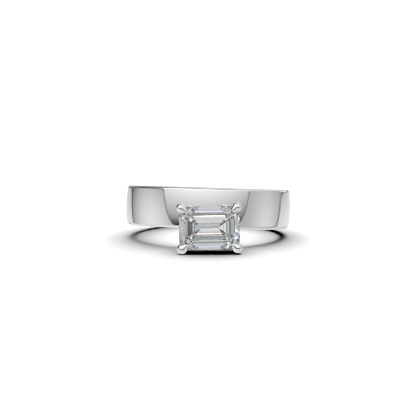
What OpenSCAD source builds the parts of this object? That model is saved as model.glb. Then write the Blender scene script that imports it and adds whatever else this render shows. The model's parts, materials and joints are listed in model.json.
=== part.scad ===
// Cigar band ring: a wide polished band with a step-cut stone set across the finger in a four-claw head.
// The ring lies on its side on the plane z = 0, with the stone facing -Y.
// It leans on its lower left claw and on one point at the back of its rim.

/* [Band] */
// Diameter of the finger hole
bore_d = 17.3; // [16:0.1:19]
// Wall thickness at the middle of the band's width
wall = 1.7; // [1.5:0.05:2.1]
// Width of the band along the finger
band_w = 4.9; // [4.5:0.1:5.6]
// Height of the shallow dome across the outer face
dome_rise = 0.17; // [0.08:0.01:0.24]
// Rounding of the outer edges
outer_edge_r = 0.32; // [0.2:0.02:0.4]
// Rounding of the edges of the finger hole
hole_edge_r = 0.25; // [0.1:0.05:0.35]

/* [Stone] */
// Length of the stone, across the finger
stone_l = 7.0; // [6.8:0.05:7.1]
// Width of the stone, along the finger
stone_w = 5.0; // [4.8:0.05:5.1]
// Length of the table, the flat top of the stone
table_l = 4.96; // [4.7:0.02:5.1]
// Width of the table
table_w = 3.34; // [3.1:0.02:3.4]
// Height of the crown, from the girdle to the table
crown_h = 0.72; // [0.6:0.02:0.8]
// Thickness of the girdle, the narrow edge that the claws hold
girdle_t = 0.12; // [0.08:0.02:0.2]
// How much of each corner is cut off at the girdle
corner_cut = 0.84; // [0.8:0.02:1]
// How much of each corner is cut off at the table
table_corner_cut = 0.48; // [0.44:0.02:0.7]

/* [Head] */
// Height of the girdle above the middle of the band's outer face
stone_lift = 2.7; // [2.6:0.05:3]
// How far the middle of the head sits below the middle of the band's width
head_drop = 2.2; // [2.1:0.05:2.3]
// Turn of the head against the band, seen from the front
head_turn = 2.8; // [0:0.2:4]
// Half the distance between the left and right claw tips
claw_x = 3.22; // [3.15:0.01:3.3]
// Half the distance between the upper and lower claw tips
claw_y = 2.36; // [2.3:0.01:2.45]
// Lean of the claws towards the stem, in degrees
claw_lean = 12; // [10:0.5:13]
// Height of the gallery rail below the girdle
rail_drop = 1.5; // [1.4:0.05:1.6]
// Radius of a claw's rounded tip
tip_r = 0.6; // [0.56:0.01:0.62]
// Radius of a claw's wire
claw_r = 0.48; // [0.44:0.01:0.5]
// Radius of the gallery rail's wire
rail_r = 0.35; // [0.3:0.01:0.38]
// Room left between the stone and the metal
seat_gap = 0.04; // [0.03:0.01:0.06]

/* [Resting pose] */
// Roll of the band as it lies, with its right side low
band_roll = 1.8; // [1.4:0.1:2.2]

/* [Hidden] */
round_fn = 120;
wire_fn = 48;

bore_r = bore_d / 2;
outer_r = bore_r + wall;
half_w = band_w / 2;

// The outer face is an arc that drops by dome_rise at each side face.
dome_r = (half_w * half_w + dome_rise * dome_rise) / (2 * dome_rise);
dome_x = outer_r - dome_r;
// Middle of the arc that rounds the outer edge and runs smoothly into the dome.
edge_y = half_w - outer_edge_r;
edge_x = dome_x + sqrt(pow(dome_r - outer_edge_r, 2) - edge_y * edge_y);
// Half the angle that the dome spans before the edge rounding begins.
dome_a = atan2(edge_y, edge_x - dome_x);

// Points along an arc about a centre, from one angle to another.
function arc(centre, r, from, to, steps) =
    [for (i = [0:steps]) let (a = from + (to - from) * i / steps) centre + r * [cos(a), sin(a)]];

// Section through the band's wall: x is the distance from the ring's axis and y runs along the finger.
dome_steps = 24;
edge_steps = 10;
hole_x = bore_r + hole_edge_r;
hole_y = half_w - hole_edge_r;
band_section = concat(
    arc([hole_x, -hole_y], hole_edge_r, 180, 270, edge_steps),
    arc([edge_x, -edge_y], outer_edge_r, -90, -dome_a, edge_steps),
    arc([dome_x, 0], dome_r, -dome_a, dome_a, dome_steps),
    arc([edge_x, edge_y], outer_edge_r, dome_a, 90, edge_steps),
    arc([hole_x, hole_y], hole_edge_r, 90, 180, edge_steps)
);

// Heights in the head are distances from the ring's axis. The middles of the claws' balls stand a little
// above the girdle, and their feet reach into the band's wall.
tip_rise = 0.1;
foot_sink = 0.6;
girdle_z = outer_r + stone_lift;
tip_z = girdle_z + tip_rise;
rail_z = girdle_z - rail_drop;
foot_z = outer_r - foot_sink;
// A claw's axis leans in by the same amount to the side and to the middle.
function on_claw(z) = [claw_x, claw_y, tip_z] - (tip_z - z) * [tan(claw_lean), tan(claw_lean), 1];
tip = on_claw(tip_z);
knee = on_claw(rail_z);
upper_foot = on_claw(foot_z);
// The lower claws bend in at the rail to reach the band's lower edge, which is edge_drop below the stem.
// Their feet lap over that edge.
edge_drop = half_w - head_drop;
foot_step_in = 0.4;
foot_lap = 0.17;
lower_foot = [knee.x - foot_step_in, edge_drop + foot_lap, foot_z];
// Each tip lays a drop-shaped beak over the stone's corner. It has a reach from the ball's middle, and a
// radius where it leaves the ball and at its end.
beak_reach = [-0.57, -0.46, 0.3];
beak_root_r = 0.42;
beak_r = 0.16;
// The wire is a little thinner than the balls along it, so that it runs into them.
ball_step = 0.02;

// Crown levels from the table down: share of the way in from the girdle, and of the crown's height.
crown_levels = [[1, 1], [0.65, 0.8], [0.34, 0.43], [0, 0]];
// Pavilion levels: share of the girdle's width, and the slope above in degrees.
pavilion_levels = [[0.65, 53], [0.36, 39]];
keel_slope = 32;

function mix(a, b, t) = a + (b - a) * t;

// One level of the stone: half length, half width, corner cut and height.
function crown_level(row, grow) = [
    mix(stone_l, table_l, row[0]) / 2 + grow,
    mix(stone_w, table_w, row[0]) / 2 + grow,
    mix(corner_cut, table_corner_cut, row[0]),
    girdle_t / 2 + crown_h * row[1] + grow
];
function pavilion_drop(i) =
    i < 0 ? 0 : pavilion_drop(i - 1) + stone_w / 2 * tan(pavilion_levels[i][1])
        * ((i == 0 ? 1 : pavilion_levels[i - 1][0]) - pavilion_levels[i][0]);
function pavilion_level(i, grow) = [
    (stone_l - stone_w) / 2 + stone_w / 2 * pavilion_levels[i][0] + grow,
    stone_w / 2 * pavilion_levels[i][0] + grow,
    corner_cut * pavilion_levels[i][0],
    -girdle_t / 2 - pavilion_drop(i) - grow
];
function stone_levels(grow) = concat(
    [for (row = crown_levels) crown_level(row, grow)],
    [[stone_l / 2 + grow, stone_w / 2 + grow, corner_cut, -girdle_t / 2 - grow]],
    [for (i = [0:len(pavilion_levels) - 1]) pavilion_level(i, grow)]
);
// A rectangle with its corners cut has eight corners, listed anticlockwise from above.
sides = 8;
function cut_rectangle(l, w, c, z) = [
    [l, w - c, z], [l - c, w, z], [c - l, w, z], [-l, w - c, z],
    [-l, c - w, z], [c - l, -w, z], [l - c, -w, z], [l, c - w, z]
];

// The stone lies with its table up and its girdle at z = 0. grow makes it larger all over.
module stone_body(grow) {
    levels = stone_levels(grow);
    last = len(levels) - 1;
    keel_half = (stone_l - stone_w) / 2;
    keel_share = pavilion_levels[len(pavilion_levels) - 1][0];
    keel_z = levels[last][3] - stone_w / 2 * keel_share * tan(keel_slope) - grow;
    corners = [for (v = levels) each cut_rectangle(v[0], v[1], v[2], v[3])];
    right_end = len(corners);
    left_end = right_end + 1;
    side_facets = [for (k = [0:last - 1]) for (i = [0:sides - 1]) let (j = (i + 1) % sides)
        [sides * (k + 1) + i, sides * k + i, sides * k + j, sides * (k + 1) + j]];
    keel_of = [right_end, right_end, left_end, left_end, left_end, left_end, right_end, right_end];
    lowest = sides * last;
    keel_facets = [for (i = [0:sides - 1]) let (j = (i + 1) % sides)
        keel_of[i] == keel_of[j]
            ? [keel_of[i], lowest + i, lowest + j]
            : [keel_of[i], lowest + i, lowest + j, keel_of[j]]];
    polyhedron(
        points = concat(corners, [[keel_half, 0, keel_z], [-keel_half, 0, keel_z]]),
        faces = concat([[for (i = [1:sides]) sides - i]], side_facets, keel_facets)
    );
}

// The head stands on +Z and is tipped forward to face -Y, low on the band and turned a little.
module place_head() {
    translate([0, 0, -head_drop]) rotate([90, 0, 0]) rotate([0, 0, head_turn]) children();
}

// Where a point of the upright head comes to in the ring's own frame.
function placed(p) = [
    p.x * cos(head_turn) - p.y * sin(head_turn),
    -p.z,
    p.x * sin(head_turn) + p.y * cos(head_turn) - head_drop
];

// The ring at rest: rolled about the line of sight, then tilted until claw and rim both touch the floor.
low_tip = placed([-claw_x, -claw_y, tip_z]);
function rolled(p) = [
    p.x * cos(band_roll) + p.z * sin(band_roll),
    p.y,
    p.z * cos(band_roll) - p.x * sin(band_roll)
];
function tip_height(tilt) = rolled(low_tip).z * cos(tilt) - rolled(low_tip).y * sin(tilt) - tip_r;
function rim_height(tilt) =
    -edge_y * cos(tilt) * cos(band_roll) - outer_edge_r
    - edge_x * sqrt(pow(cos(tilt) * sin(band_roll), 2) + pow(sin(tilt), 2));
// The tilt at which the two heights are equal, found by halving.
steepest = 20;
halvings = 30;
function settled(low, high, rounds) =
    let (middle = (low + high) / 2)
    rounds == 0 ? middle
        : tip_height(middle) < rim_height(middle) ? settled(middle, high, rounds - 1)
        : settled(low, middle, rounds - 1);
rest_tilt = settled(0, steepest, halvings);
front_y = rolled(low_tip).y * cos(rest_tilt) + rolled(low_tip).z * sin(rest_tilt) - tip_r;
back_y = edge_x * cos(rest_tilt) + edge_y * sin(rest_tilt) + outer_edge_r;

module at_rest() {
    translate([0, -(front_y + back_y) / 2, -rim_height(rest_tilt)])
        rotate([-rest_tilt, 0, 0]) rotate([0, band_roll, 0]) children();
}

// A round rod between two points, with a radius at each.
module rod(p, q, r_p, r_q) {
    way = q - p;
    translate(p)
        rotate([0, acos(way.z / norm(way)), atan2(way.y, way.x)])
            cylinder(h = norm(way), r1 = r_p, r2 = r_q, $fn = wire_fn);
}

module ball(p, r) {
    translate(p) sphere(r = r, $fn = wire_fn);
}

module band() {
    rotate_extrude($fn = round_fn) polygon(band_section);
}

// A claw rises from its foot on the band, past the rail, and lays a drop-shaped beak over the stone.
module claw(foot) {
    ball(foot, claw_r);
    rod(foot, knee, claw_r - ball_step, claw_r - ball_step);
    ball(knee, claw_r);
    rod(knee, tip, claw_r - ball_step, claw_r + ball_step);
    ball(tip, tip_r);
    rod(tip, tip + beak_reach, beak_root_r, beak_r - ball_step);
    ball(tip + beak_reach, beak_r);
}

module claws() {
    for (side = [0, 1]) mirror([side, 0, 0]) {
        claw(upper_foot);
        mirror([0, 1, 0]) claw(lower_foot);
    }
}

// Straight wires from claw to claw, beside the stone's lower facets.
module gallery_rail() {
    for (s = [-1, 1]) {
        rod([-knee.x, s * knee.y, rail_z], [knee.x, s * knee.y, rail_z], rail_r, rail_r);
        rod([s * knee.x, -knee.y, rail_z], [s * knee.x, knee.y, rail_z], rail_r, rail_r);
    }
}

module band_and_claw_head() {
    color("silver") at_rest() {
        band();
        place_head() difference() {
            union() {
                claws();
                gallery_rail();
            }
            translate([0, 0, girdle_z]) stone_body(seat_gap);
        }
    }
}

module emerald_cut_stone() {
    color("azure") at_rest() place_head() translate([0, 0, girdle_z]) stone_body(0);
}

band_and_claw_head();
emerald_cut_stone();
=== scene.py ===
import json
from math import asin, atan2, cos, pi, radians, sin, sqrt, tan

import bmesh
import bpy
from mathutils import Matrix, Vector


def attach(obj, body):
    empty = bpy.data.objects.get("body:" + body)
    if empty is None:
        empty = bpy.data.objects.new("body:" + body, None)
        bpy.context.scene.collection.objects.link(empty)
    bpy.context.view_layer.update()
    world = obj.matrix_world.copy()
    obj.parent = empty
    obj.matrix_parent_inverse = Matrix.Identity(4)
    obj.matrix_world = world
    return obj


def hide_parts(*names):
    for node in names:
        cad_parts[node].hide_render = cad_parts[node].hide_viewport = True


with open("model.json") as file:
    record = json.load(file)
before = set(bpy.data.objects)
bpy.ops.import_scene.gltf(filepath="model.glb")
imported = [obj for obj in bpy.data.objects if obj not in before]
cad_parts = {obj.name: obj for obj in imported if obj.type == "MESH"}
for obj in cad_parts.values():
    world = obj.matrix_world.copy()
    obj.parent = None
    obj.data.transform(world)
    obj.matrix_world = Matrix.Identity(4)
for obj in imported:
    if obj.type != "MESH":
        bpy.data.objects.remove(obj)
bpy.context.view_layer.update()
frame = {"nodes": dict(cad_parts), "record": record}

# How the ring lies
# Each piece is made in millimetres on a ring that stands square on its own axis, with the stone facing -Y.
# It is then laid down into the frame's metres, where the finger hole's mount says how the axis leans: the
# ring rests on one claw and on the back of its rim.
mm = 0.001
hole = frame["record"]["mounts"][0]
hole_axis = Vector(hole["axis"])
roll = asin(hole_axis.x)
tilt = atan2(hole_axis.y, hole_axis.z)
lie_down = (
    Matrix.Translation(hole["pos_m"])
    @ Matrix.Rotation(-tilt, 4, "X")
    @ Matrix.Rotation(roll, 4, "Y")
    @ Matrix.Scale(mm, 4)
)


def lay(piece, placing):
    """Puts a finished piece in its place, and keeps that place in its mesh."""
    bpy.ops.object.select_all(action="DESELECT")
    bpy.context.view_layer.objects.active = piece
    piece.select_set(True)
    piece.matrix_world = placing
    bpy.ops.object.transform_apply(location=True, rotation=True, scale=True)


# Rhodium-plated white gold
# A cast 14 carat alloy, polished on a felt wheel that runs round the band, and plated. It mirrors the studio
# almost sharply, with a slight unevenness in the gloss, and the wheel leaves hairlines round the band that
# blur it a little. They are drawn about five times coarser than real ones, or no picture would show them.
def add_node(tree, kind, settings, inputs):
    """Adds one node with its settings. Each input is given a value or is linked to a socket."""
    made = tree.nodes.new(kind)
    for name, value in settings.items():
        setattr(made, name, value)
    for name, value in inputs.items():
        if isinstance(value, bpy.types.NodeSocket):
            tree.links.new(value, made.inputs[name])
        else:
            made.inputs[name].default_value = value
    return made


def linear(hex_colour):
    """Turns an sRGB hex colour into the linear values that shaders take."""
    shares = [int(hex_colour[i : i + 2], 16) / 255 for i in (1, 3, 5)]
    return [s / 12.92 if s <= 0.04045 else ((s + 0.055) / 1.055) ** 2.4 for s in shares] + [1]


def new_material(name):
    """A named material with its node tree emptied but for the output."""
    material = bpy.data.materials.new(name)
    material.use_nodes = True
    tree = material.node_tree
    tree.nodes.clear()
    return material, tree, add_node(tree, "ShaderNodeOutputMaterial", {}, {})


white_gold, tree, out = new_material("rhodium_plated_white_gold")
place = add_node(tree, "ShaderNodeTexCoord", {}, {}).outputs["Object"]
cloud_width = 2.5 * mm
cloudiness = add_node(
    tree, "ShaderNodeTexNoise", {}, {"Vector": place, "Scale": 1 / cloud_width, "Detail": 2}
)
gloss = add_node(
    tree,
    "ShaderNodeMapRange",
    {},
    {"Value": cloudiness.outputs["Fac"], "To Min": 0.04, "To Max": 0.08},
)
hairline_length = 4 * mm
hairline_width = 0.05 * mm
round_band = add_node(
    tree,
    "ShaderNodeMapping",
    {"vector_type": "TEXTURE"},
    {
        "Vector": place,
        "Location": hole["pos_m"],
        "Rotation": lie_down.to_euler(),
        "Scale": (hairline_length, hairline_length, hairline_width),
    },
)
hairlines = add_node(
    tree, "ShaderNodeTexNoise", {}, {"Vector": round_band.outputs[0], "Scale": 1, "Detail": 1}
)
blur = add_node(
    tree,
    "ShaderNodeMapRange",
    {},
    {"Value": hairlines.outputs["Fac"], "From Min": 0.5, "From Max": 0.7, "To Max": 0.035},
)
roughness = add_node(
    tree, "ShaderNodeMath", {"operation": "ADD"}, {0: gloss.outputs["Result"], 1: blur.outputs["Result"]}
)
shader = add_node(
    tree,
    "ShaderNodeBsdfPrincipled",
    {},
    {"Base Color": linear("#E8E8E8"), "Metallic": 1, "Roughness": roughness.outputs[0]},
)
tree.links.new(shader.outputs[0], out.inputs["Surface"])

# Band
# One wide strip of white gold, closed into a ring. Its outer face is slightly domed, and its edges are
# eased where a finger meets them. Made here as a section through the wall, spun round the finger hole.


def edit(piece):
    """Opens one piece alone for editing, by its points and with nothing selected."""
    bpy.ops.object.select_all(action="DESELECT")
    bpy.context.view_layer.objects.active = piece
    piece.select_set(True)
    bpy.ops.object.mode_set(mode="EDIT")
    bpy.ops.mesh.select_mode(type="VERT")
    bpy.ops.mesh.select_all(action="DESELECT")


def pick(piece, wanted, kind="verts"):
    """Selects the vertices or edges for which wanted says yes."""
    mesh = bmesh.from_edit_mesh(piece.data)
    for part in getattr(mesh, kind):
        if wanted(part):
            part.select_set(True)
    mesh.select_flush(True)
    bmesh.update_edit_mesh(piece.data)


bore_r = hole["dims"]["r_mm"]
wall = 1.7
band_w = 4.9
dome_rise = 0.17
outer_edge_r = 0.32
hole_edge_r = 0.25
edge_steps = 10
dome_steps = 24
steps_round = 240
weld = 0.0005

outer_r = bore_r + wall
flat_r = outer_r - dome_rise
middle_r = (bore_r + flat_r) / 2
bpy.ops.object.select_all(action="DESELECT")
bpy.ops.mesh.primitive_plane_add(size=1, location=(middle_r, 0, 0), rotation=(pi / 2, 0, 0))
band = bpy.context.object
band.name = "band"
band.scale = (flat_r - bore_r, band_w, 1)
bpy.ops.object.transform_apply(location=True, rotation=True, scale=True)
edit(band)
pick(band, lambda v: v.co.x > middle_r)
bpy.ops.mesh.bevel(affect="VERTICES", offset=outer_edge_r, segments=edge_steps)
bpy.ops.mesh.select_all(action="DESELECT")
pick(band, lambda v: v.co.x < middle_r)
bpy.ops.mesh.bevel(affect="VERTICES", offset=hole_edge_r, segments=edge_steps)
bpy.ops.mesh.select_mode(type="EDGE")
bpy.ops.mesh.select_all(action="DESELECT")
pick(band, lambda e: e.calc_length() > band_w / 2 and e.verts[0].co.x > middle_r, "edges")
bpy.ops.mesh.subdivide(number_cuts=dome_steps - 1)

# The outer side swells into the dome, an arc that is nil at the two side faces.
dome_r = ((band_w / 2) ** 2 + dome_rise**2) / (2 * dome_rise)
mesh = bmesh.from_edit_mesh(band.data)
for v in mesh.verts:
    if v.co.x > middle_r:
        v.co.x += sqrt(dome_r**2 - v.co.z**2) - (dome_r - dome_rise)
bmesh.update_edit_mesh(band.data)

bpy.ops.mesh.select_all(action="SELECT")
bpy.ops.mesh.delete(type="ONLY_FACE")
bpy.ops.mesh.select_all(action="SELECT")
bpy.ops.mesh.spin(steps=steps_round, angle=2 * pi, center=(0, 0, 0), axis=(0, 0, 1))
bpy.ops.mesh.select_all(action="SELECT")
bpy.ops.mesh.remove_doubles(threshold=weld)
bpy.ops.mesh.normals_make_consistent(inside=False)
bpy.ops.object.mode_set(mode="OBJECT")
bpy.ops.object.shade_smooth()
bpy.ops.object.modifier_add(type="WEIGHTED_NORMAL")
bpy.ops.object.modifier_apply(modifier="WeightedNormal")
band.data.materials.append(white_gold)
lay(band, lie_down)
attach(band, "root")
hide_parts("band_and_claw_head")

# Where the head stands
# The head is made upright on +Z with its girdle at its own height, then tipped forward to face -Y,
# low on the band and turned a little, as the photo shows it.
stone_lift = 2.7
head_drop = 2.2
head_turn = radians(2.8)
girdle_z = outer_r + stone_lift
place_head = (
    lie_down
    @ Matrix.Translation((0, 0, -head_drop))
    @ Matrix.Rotation(pi / 2, 4, "X")
    @ Matrix.Rotation(head_turn, 4, "Z")
)

# Claws
# Four wires of the same alloy, soldered to the band. Each ends in a ball that is filed into a drop-shaped
# beak and burnished down over a corner of the stone.
claw_x = 3.22
claw_y = 2.36
claw_lean = radians(12)
tip_rise = 0.1
rail_drop = 1.5
foot_depth = 0.6
foot_inset = 0.4
foot_rise = 0.17
tip_r = 0.6
claw_r = 0.48
beak_way = Vector((-0.57, -0.46, 0.3)).normalized()
beak_pull = 0.34
beak_spread = 0.55
foot_flare = 1.15
crease = radians(35)

tip_z = girdle_z + tip_rise
rail_z = girdle_z - rail_drop
foot_z = outer_r - foot_depth


def on_claw(z):
    """A claw's axis leans in by the same amount to the side and to the middle."""
    inwards = (tip_z - z) * tan(claw_lean)
    return Vector((claw_x - inwards, claw_y - inwards, z))


tip = on_claw(tip_z)
knee = on_claw(rail_z)
edge_drop = band_w / 2 - head_drop
margin = 0.01


def make_claw(name, way):
    """One claw at the +X +Y corner of the upright head. way lists where its wire goes, from the ball down."""
    bpy.ops.object.select_all(action="DESELECT")
    axis = (tip - way[0]).normalized()
    upright = axis.to_track_quat("Z", "Y").to_euler()
    bpy.ops.mesh.primitive_uv_sphere_add(
        segments=64, ring_count=48, radius=tip_r, location=tip, rotation=upright
    )
    claw = bpy.context.object
    claw.name = name
    bpy.ops.object.transform_apply(location=True, rotation=True, scale=True)

    # The wire is drawn from where the ball is as narrow as it is.
    neck = -sqrt(tip_r**2 - claw_r**2)
    edit(claw)
    pick(claw, lambda v: (v.co - tip).dot(axis) < neck - margin)
    bpy.ops.mesh.delete(type="VERT")
    pick(claw, lambda e: e.is_boundary, "edges")
    at, heading = tip + neck * axis, -axis
    for i, stop in enumerate(way):
        last = i == len(way) - 1
        next_heading = heading if last else (way[i + 1] - stop).normalized()
        bpy.ops.mesh.extrude_region_move(TRANSFORM_OT_translate={"value": stop - at})
        mesh = bmesh.from_edit_mesh(claw.data)
        turn = heading.rotation_difference(next_heading)
        for v in [v for v in mesh.verts if v.select]:
            v.co = stop + turn @ (v.co - stop) * (foot_flare if last else 1)
        bmesh.update_edit_mesh(claw.data)
        at, heading = stop, next_heading
    bpy.ops.mesh.edge_face_add()
    bpy.ops.object.mode_set(mode="OBJECT")

    # The ball is pulled out over the stone's corner into a drop-shaped beak.
    edit(claw)
    mesh = bmesh.from_edit_mesh(claw.data)
    end = max(mesh.verts, key=lambda v: (v.co - tip).normalized().dot(beak_way))
    pick(claw, lambda v: v == end)
    bpy.ops.transform.translate(
        value=beak_way * beak_pull,
        use_proportional_edit=True,
        proportional_edit_falloff="SMOOTH",
        proportional_size=beak_spread,
    )
    bpy.ops.object.mode_set(mode="OBJECT")
    return claw


# The stone's seat is cut into each claw a hair larger than the stone, with a copy of the stone stood upright.
seat_gap = 0.04
stone = frame["nodes"]["emerald_cut_stone"]
seat_cutter = stone.copy()
seat_cutter.data = stone.data.copy()
seat_cutter.name = "seat_cutter"
bpy.context.collection.objects.link(seat_cutter)
lay(seat_cutter, place_head.inverted())
edit(seat_cutter)
bpy.ops.mesh.select_all(action="SELECT")
bpy.ops.mesh.remove_doubles(threshold=weld)
bpy.ops.mesh.normals_make_consistent(inside=False)
bpy.ops.transform.shrink_fatten(value=seat_gap)
bpy.ops.object.mode_set(mode="OBJECT")

upper_way = [on_claw(foot_z)]
lower_way = [knee, Vector((knee.x - foot_inset, edge_drop + foot_rise, foot_z))]
corners = {
    "claw_upper_right": (1, 1, upper_way),
    "claw_upper_left": (-1, 1, upper_way),
    "claw_lower_right": (1, -1, lower_way),
    "claw_lower_left": (-1, -1, lower_way),
}
for name, (side, height, way) in corners.items():
    claw = make_claw(name, way)
    claw.scale = (side, height, 1)
    bpy.ops.object.transform_apply(location=True, rotation=True, scale=True)
    edit(claw)
    bpy.ops.mesh.select_all(action="SELECT")
    bpy.ops.mesh.normals_make_consistent(inside=False)
    bpy.ops.object.mode_set(mode="OBJECT")
    cut = claw.modifiers.new("seat", "BOOLEAN")
    cut.operation = "DIFFERENCE"
    cut.solver = "EXACT"
    cut.object = seat_cutter
    bpy.ops.object.modifier_apply(modifier="seat")
    bpy.ops.object.shade_smooth_by_angle(angle=crease)
    claw.data.materials.clear()
    claw.data.materials.append(white_gold)
    lay(claw, place_head)
    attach(claw, "root")
    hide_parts("band_and_claw_head")
bpy.data.objects.remove(seat_cutter)

# Gallery rail
# A round wire of the same alloy, bent to a rectangle and soldered inside the claws under the stone. It keeps
# the four claws from spreading.
rail_r = 0.35
rail_corner_r = 0.5
bpy.ops.object.select_all(action="DESELECT")
bpy.ops.mesh.primitive_plane_add(size=1, location=(0, 0, rail_z))
rail = bpy.context.object
rail.name = "gallery_rail"
rail.scale = (2 * knee.x, 2 * knee.y, 1)
bpy.ops.object.transform_apply(location=True, rotation=True, scale=True)
edit(rail)
bpy.ops.mesh.select_all(action="SELECT")
bpy.ops.mesh.bevel(affect="VERTICES", offset=rail_corner_r, segments=8)
bpy.ops.mesh.select_all(action="SELECT")
bpy.ops.mesh.delete(type="ONLY_FACE")
bpy.ops.object.mode_set(mode="OBJECT")
bpy.ops.object.convert(target="CURVE")
rail.data.bevel_depth = rail_r
rail.data.bevel_resolution = 6
bpy.ops.object.convert(target="MESH")
edit(rail)
bpy.ops.mesh.select_all(action="SELECT")
bpy.ops.mesh.remove_doubles(threshold=weld)
bpy.ops.mesh.normals_make_consistent(inside=False)
bpy.ops.object.mode_set(mode="OBJECT")
bpy.ops.object.shade_smooth()
rail.data.materials.clear()
rail.data.materials.append(white_gold)
lay(rail, place_head)
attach(rail, "root")
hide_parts("band_and_claw_head")

# Stone
# A 7 by 5 mm emerald-cut (step-cut) diamond, ground and polished flat on a wheel, so that each facet mirrors
# the light inside cleanly. The frame's own facets are exact and stay. The crystal is nearly colourless: its
# growth zones, about a millimetre across, tint it very faintly, so no two facets are quite the same white.
clear_stone, tree, out = new_material("polished_diamond")
place = add_node(tree, "ShaderNodeTexCoord", {}, {}).outputs["Object"]
zone_width = 1 * mm
zones = add_node(
    tree, "ShaderNodeTexNoise", {}, {"Vector": place, "Scale": 1 / zone_width, "Detail": 1}
)
tint = add_node(
    tree,
    "ShaderNodeMix",
    {"data_type": "RGBA"},
    {"Factor": zones.outputs["Fac"], 6: linear("#FFFFFF"), 7: linear("#F6F8FA")},
)
shader = add_node(
    tree,
    "ShaderNodeBsdfPrincipled",
    {},
    {"Base Color": tint.outputs[2], "Roughness": 0, "IOR": 2.417, "Transmission Weight": 1},
)
tree.links.new(shader.outputs[0], out.inputs["Surface"])
stone.data.materials.clear()
stone.data.materials.append(clear_stone)

# Floor
# A plain white sheet, lit well enough to lose its grain, with the ring's soft shadow on it. The ring doesn't
# mirror it, because the panels of the studio stand for what the metal and the stone see.
sheet_width = 4
sheet_white, tree, out = new_material("matt_white_sheet")
shader = add_node(
    tree,
    "ShaderNodeBsdfPrincipled",
    {},
    {"Base Color": linear("#F4F4F4"), "Roughness": 1, "Specular IOR Level": 0},
)
tree.links.new(shader.outputs[0], out.inputs["Surface"])
bpy.ops.object.select_all(action="DESELECT")
bpy.ops.mesh.primitive_plane_add(size=sheet_width)
floor = bpy.context.object
floor.name = "floor"
floor.data.materials.append(sheet_white)
floor.visible_glossy = False
floor.visible_transmission = False

# Studio light
# Panels of light stand round the ring and show in its metal as soft rounded shapes with thin dark frames. A
# ray's azimuth is 0 towards the camera and 90 to its right, and both its angles are in degrees.
studio = bpy.data.worlds.new("studio")
bpy.context.scene.world = studio
studio.use_nodes = True
tree = studio.node_tree
tree.nodes.clear()
direction = add_node(tree, "ShaderNodeTexCoord", {}, {}).outputs["Generated"]
parts = add_node(tree, "ShaderNodeSeparateXYZ", {}, {0: direction}).outputs
forwards = add_node(tree, "ShaderNodeMath", {"operation": "MULTIPLY"}, {0: parts["Y"], 1: -1})
turned = add_node(tree, "ShaderNodeMath", {"operation": "ARCTAN2"}, {0: parts["X"], 1: forwards.outputs[0]})
azimuth = add_node(tree, "ShaderNodeMath", {"operation": "DEGREES"}, {0: turned.outputs[0]})
raised = add_node(tree, "ShaderNodeMath", {"operation": "ARCSINE"}, {0: parts["Z"]})
elevation = add_node(tree, "ShaderNodeMath", {"operation": "DEGREES"}, {0: raised.outputs[0]})
ray = add_node(tree, "ShaderNodeCombineXYZ", {}, {"X": azimuth.outputs[0], "Y": elevation.outputs[0]})

# Each panel is drawn over those before it. It widens upwards by a share of the elevation, and its light
# falls from most, where it is brightest, to least, a spread away. A thin dark frame runs round it.
panels = {
    "room": dict(
        middle=(0, 0), half=(400, 400), corner=(1, 1), widening=0,
        brightest=(-114, 4), spread=(89, 109), most=0.0, least=0.8,
    ),
    "back": dict(
        middle=(172, -12), half=(50, 13), corner=(3, 11), widening=-0.55,
        brightest=(174, -12), spread=(190, 14), most=0.91, least=0.59,
    ),
    "below": dict(
        middle=(0, -61), half=(200, 43), corner=(4, 4), widening=0,
        brightest=(-76, -28), spread=(200, 200), most=0.89, least=0.74,
    ),
    "left": dict(
        middle=(-89, -1.6), half=(45.5, 18), corner=(8, 9), widening=0.3,
        brightest=(-86, -12), spread=(100, 74), most=0.95, least=-0.39,
    ),
    "right": dict(
        middle=(75, 4), half=(45, 18), corner=(8, 4), widening=0.63,
        brightest=(85, -24), spread=(39, 54), most=0.9, least=0.53,
    ),
    "front": dict(
        middle=(-4, 34), half=(55, 50), corner=(22, 18), widening=0.62,
        brightest=(-22, 40), spread=(270, 79), most=1.31, least=-0.26,
    ),
}
frame_width = 0.2
frame_level = 0.15
softness = 0.9


def angles_from(point):
    """How far a ray points to the side of one point of the studio and above it, the short way round."""
    offset = {0: ray.outputs[0], 1: (*point, 0)}
    apart = add_node(tree, "ShaderNodeVectorMath", {"operation": "SUBTRACT"}, offset)
    limits = {0: apart.outputs[0], 1: (180, 180, 1), 2: (-180, -180, -1)}
    return add_node(tree, "ShaderNodeVectorMath", {"operation": "WRAP"}, limits).outputs[0]


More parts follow.
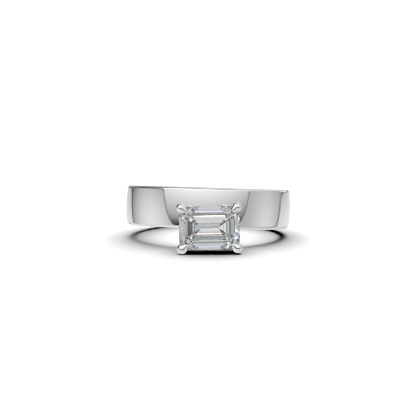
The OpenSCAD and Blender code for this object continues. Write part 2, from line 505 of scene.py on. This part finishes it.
# A ray is past the straight part of a panel by a number of its corners' radii, and at 1 it meets the edge.
level = 0
for panel in panels.values():
    corner = Vector(panel["corner"]).to_3d()
    straight = Vector(panel["half"]).to_3d() - corner
    per_corner = Vector((1 / corner.x, 1 / corner.y, 0))
    apart = add_node(
        tree, "ShaderNodeVectorMath", {"operation": "ABSOLUTE"}, {0: angles_from(panel["middle"])}
    )
    narrowed = add_node(
        tree,
        "ShaderNodeVectorMath",
        {"operation": "MULTIPLY_ADD"},
        {0: elevation.outputs[0], 1: (-panel["widening"], 0, 0), 2: apart.outputs[0]},
    )
    in_corners = add_node(
        tree,
        "ShaderNodeVectorMath",
        {"operation": "MULTIPLY_ADD"},
        {0: narrowed.outputs[0], 1: per_corner, 2: -straight * per_corner},
    )
    beyond = add_node(
        tree, "ShaderNodeVectorMath", {"operation": "MAXIMUM"}, {0: in_corners.outputs[0], 1: (0, 0, 0)}
    )
    past = add_node(tree, "ShaderNodeVectorMath", {"operation": "LENGTH"}, {0: beyond.outputs[0]})
    degree = 1 / min(panel["corner"])
    framed = add_node(
        tree,
        "ShaderNodeMapRange",
        {"interpolation_type": "SMOOTHSTEP"},
        {
            "Value": past.outputs["Value"],
            "From Min": 1 + (frame_width + softness) * degree,
            "From Max": 1 + frame_width * degree,
        },
    )
    lit = add_node(
        tree,
        "ShaderNodeMapRange",
        {"interpolation_type": "SMOOTHSTEP"},
        {"Value": past.outputs["Value"], "From Min": 1, "From Max": 1 - softness * degree},
    )
    per_spread = (1 / panel["spread"][0], 1 / panel["spread"][1], 0)
    in_spreads = add_node(
        tree,
        "ShaderNodeVectorMath",
        {"operation": "MULTIPLY"},
        {0: angles_from(panel["brightest"]), 1: per_spread},
    )
    away = add_node(tree, "ShaderNodeVectorMath", {"operation": "LENGTH"}, {0: in_spreads.outputs[0]})
    shine = add_node(
        tree,
        "ShaderNodeMapRange",
        {"interpolation_type": "SMOOTHSTEP"},
        {"Value": away.outputs["Value"], "To Min": panel["most"], "To Max": panel["least"]},
    )
    level = add_node(
        tree, "ShaderNodeMix", {}, {"Factor": framed.outputs["Result"], "A": level, "B": frame_level}
    ).outputs["Result"]
    level = add_node(
        tree, "ShaderNodeMix", {}, {"Factor": lit.outputs["Result"], "A": level, "B": shine.outputs["Result"]}
    ).outputs["Result"]

# The front panel, the last one drawn, fades into shade from eye level down to the table.
shade_begins = 0
shade_ends = -11
darkest = 0.015
lowered = add_node(
    tree,
    "ShaderNodeMapRange",
    {"interpolation_type": "SMOOTHSTEP"},
    {"Value": elevation.outputs[0], "From Min": shade_begins, "From Max": shade_ends},
)
shade = add_node(
    tree,
    "ShaderNodeMath",
    {"operation": "MULTIPLY"},
    {0: lowered.outputs["Result"], 1: lit.outputs["Result"]},
)
shaded = add_node(tree, "ShaderNodeMix", {}, {"Factor": shade.outputs[0], "A": level, "B": 0})
level = add_node(tree, "ShaderNodeMath", {"operation": "MAXIMUM"}, {0: shaded.outputs["Result"], 1: darkest})

# The stone gathers light from all round, and each of its steps shows a thin strip of the room. What is seen
# through it is set apart from the panels: a grey room with upright stripes of light and dark round it, and
# level stripes in a narrow band that runs from the camera's side up, over the ring and back underneath. A
# stripe has two angles in degrees, a strength and a colour.
room_grey = "#BCBCBC"
upright_stripes = [
    (-125, -112, 0.05, "#FFFFFF"),
    (-112, -101, 0.9, "#FFFFFF"),
    (-101, -58, 0.01, "#FFFFFF"),
    (-58, -48, 0.2, "#FFFFFF"),
    (-32, -25, 0.3, "#FFFFFF"),
    (-25, -15, 1.4, "#E2EEFF"),
    (25, 31, 0.3, "#F0D0C0"),
    (56, 70, 0.08, "#FFFFFF"),
    (70, 76, 0.3, "#E2EEFF"),
    (76, 84, 0.65, "#F6EADC"),
    (84, 103, 0.7, "#E2EEFF"),
    (116, 128, 0.05, "#FFFFFF"),
]
level_stripes = [
    (-168, -163, 2.3, "#FFFFFF"),
    (-161, -151, 0.01, "#FFFFFF"),
    (-141, -120, 3.0, "#FFF0E6"),
    (-107, -102, 0.65, "#FFFFFF"),
    (-102, -93, 0.4, "#FFFFFF"),
    (-93, -83, 0.65, "#FFFFFF"),
    (-70, -57, 0.75, "#E2EEFF"),
    (-57, -50, 3.0, "#FFF0E6"),
    (-50, -18, 0.4, "#FFFFFF"),
    (-18, -10, 0.64, "#ECF1FF"),
    (-10, -4, 0.03, "#FFFFFF"),
    (-4, 5.5, 0.2, "#FFFFFF"),
    (5.5, 14, 0.01, "#FFFFFF"),
    (14, 16.5, 2.2, "#FFFFFF"),
    (16.5, 25, 0.68, "#FFFFFF"),
    (25, 31, 0.6, "#E4F3FF"),
    (31, 33, 0.9, "#FFFFFF"),
    (33, 40, 0.25, "#DCF0E8"),
    (40, 48, 1.0, "#FFFFFF"),
    (66, 76, 0.12, "#FFFFFF"),
    (76, 90, 0.28, "#FFFFFF"),
    (94, 104.5, 1.0, "#FFF0E6"),
    (104.5, 112, 0.8, "#F6EADC"),
    (112, 120, 0.4, "#FFFFFF"),
    (120, 130, 1.0, "#FFFFFF"),
    (130, 150, 0.01, "#FFFFFF"),
]


def add_stripes(angle, stripes):
    """Paints stripes over the grey room, each from its first angle to its last."""
    view = linear(room_grey)
    for first, last, strength, colour in stripes:
        limits = {0: angle.outputs[0], 1: (first + last) / 2, 2: (last - first) / 2}
        within = add_node(tree, "ShaderNodeMath", {"operation": "COMPARE"}, limits)
        tint = [strength * share for share in linear(colour)[:3]] + [1]
        view = add_node(
            tree, "ShaderNodeMix", {"data_type": "RGBA"}, {"Factor": within.outputs[0], 6: view, 7: tint}
        ).outputs[2]
    return view


band_half = 0.046
band_fade = 0.01
pitched = add_node(tree, "ShaderNodeMath", {"operation": "ARCTAN2"}, {0: parts["Z"], 1: forwards.outputs[0]})
over = add_node(tree, "ShaderNodeMath", {"operation": "DEGREES"}, {0: pitched.outputs[0]})
aside = add_node(tree, "ShaderNodeMath", {"operation": "ABSOLUTE"}, {0: parts["X"]})
in_band = add_node(
    tree,
    "ShaderNodeMapRange",
    {},
    {"Value": aside.outputs[0], "From Min": band_half + band_fade, "From Max": band_half},
)
view_of_stone = add_node(
    tree,
    "ShaderNodeMix",
    {"data_type": "RGBA"},
    {
        "Factor": in_band.outputs["Result"],
        6: add_stripes(azimuth, upright_stripes),
        7: add_stripes(over, level_stripes),
    },
).outputs[2]

# Small saturated lights stand in for the colours that the facets split from white light. Each has an azimuth,
# an elevation and a colour.
fire_radius = radians(3.5)
fire = [
    (117, 12, "#1C2C78"),
    (30, -33, "#FFA870"),
    (90, 39, "#B090FF"),
    (-40, 1, "#FFD078"),
    (21, -45, "#F4E890"),
    (42, 33, "#78A8FF"),
    (33, 6, "#90F0E8"),
    (-27, 12, "#D8F078"),
]
for azimuth_at, elevation_at, colour in fire:
    across = cos(radians(elevation_at))
    towards = (
        sin(radians(azimuth_at)) * across,
        -cos(radians(azimuth_at)) * across,
        sin(radians(elevation_at)),
    )
    facing = add_node(tree, "ShaderNodeVectorMath", {"operation": "DOT_PRODUCT"}, {0: direction, 1: towards})
    on_light = add_node(
        tree,
        "ShaderNodeMath",
        {"operation": "GREATER_THAN"},
        {0: facing.outputs["Value"], 1: cos(fire_radius)},
    )
    view_of_stone = add_node(
        tree,
        "ShaderNodeMix",
        {"data_type": "RGBA"},
        {"Factor": on_light.outputs[0], 6: view_of_stone, 7: linear(colour)},
    ).outputs[2]

# A ray that has come through the stone sees the stripes, the camera sees a plain white surround, and the
# metal and the stone's own gloss mirror the panels.
white = linear("#FFFFFF")
surround_level = 1.1
panel_light = add_node(tree, "ShaderNodeBackground", {}, {"Color": white, "Strength": level.outputs[0]})
stone_light = add_node(tree, "ShaderNodeBackground", {}, {"Color": view_of_stone})
white_surround = add_node(tree, "ShaderNodeBackground", {}, {"Color": white, "Strength": surround_level})
seen = add_node(tree, "ShaderNodeLightPath", {}, {}).outputs
through_stone = add_node(
    tree,
    "ShaderNodeMixShader",
    {},
    {0: seen["Is Transmission Ray"], 1: panel_light.outputs[0], 2: stone_light.outputs[0]},
)
either = add_node(
    tree,
    "ShaderNodeMixShader",
    {},
    {0: seen["Is Camera Ray"], 1: through_stone.outputs[0], 2: white_surround.outputs[0]},
)
add_node(tree, "ShaderNodeOutputWorld", {}, {"Surface": either.outputs[0]})
studio.cycles_visibility.diffuse = False

# A wide soft light overhead, a little behind the ring, lights the floor alone and casts the shadow.
overhead = bpy.data.lights.new("overhead_softbox", "SUN")
overhead.angle = radians(63)
overhead.energy = 3.85
overhead_lean = radians(-20)
overhead_lamp = bpy.data.objects.new("overhead_softbox", overhead)
overhead_lamp.rotation_euler = (overhead_lean, 0, 0)
overhead_lamp.visible_glossy = False
overhead_lamp.visible_transmission = False
bpy.context.collection.objects.link(overhead_lamp)

# Camera
# The photo's angle: low in front of the stone, a little to its left, and close enough for some perspective.
camera_distance = 142 * mm
camera_elevation = radians(7.75)
camera_azimuth = radians(-0.9)
aim_shift = Vector((-0.025, 0, -0.127)) * mm
lens = bpy.data.cameras.new("camera")
lens.lens = 96.7
lens.clip_start = 1 * mm
camera = bpy.data.objects.new("camera", lens)
back = Vector(
    (
        sin(camera_azimuth) * cos(camera_elevation),
        -cos(camera_azimuth) * cos(camera_elevation),
        sin(camera_elevation),
    )
)
aim = Vector(hole["pos_m"]) + aim_shift
camera.location = aim + back * camera_distance
camera.rotation_euler = (-back).to_track_quat("-Z", "Y").to_euler()
bpy.context.collection.objects.link(camera)
bpy.context.scene.camera = camera

# Light meets many facets inside the stone, so rays are followed far, and a narrow filter keeps the edges of
# the facets and the lines in the metal crisp.
scene = bpy.context.scene
scene.view_settings.view_transform = "Standard"
scene.cycles.max_bounces = 24
scene.cycles.glossy_bounces = 12
scene.cycles.transmission_bounces = 24
scene.cycles.caustics_reflective = False
scene.cycles.caustics_refractive = False
scene.cycles.filter_width = 1
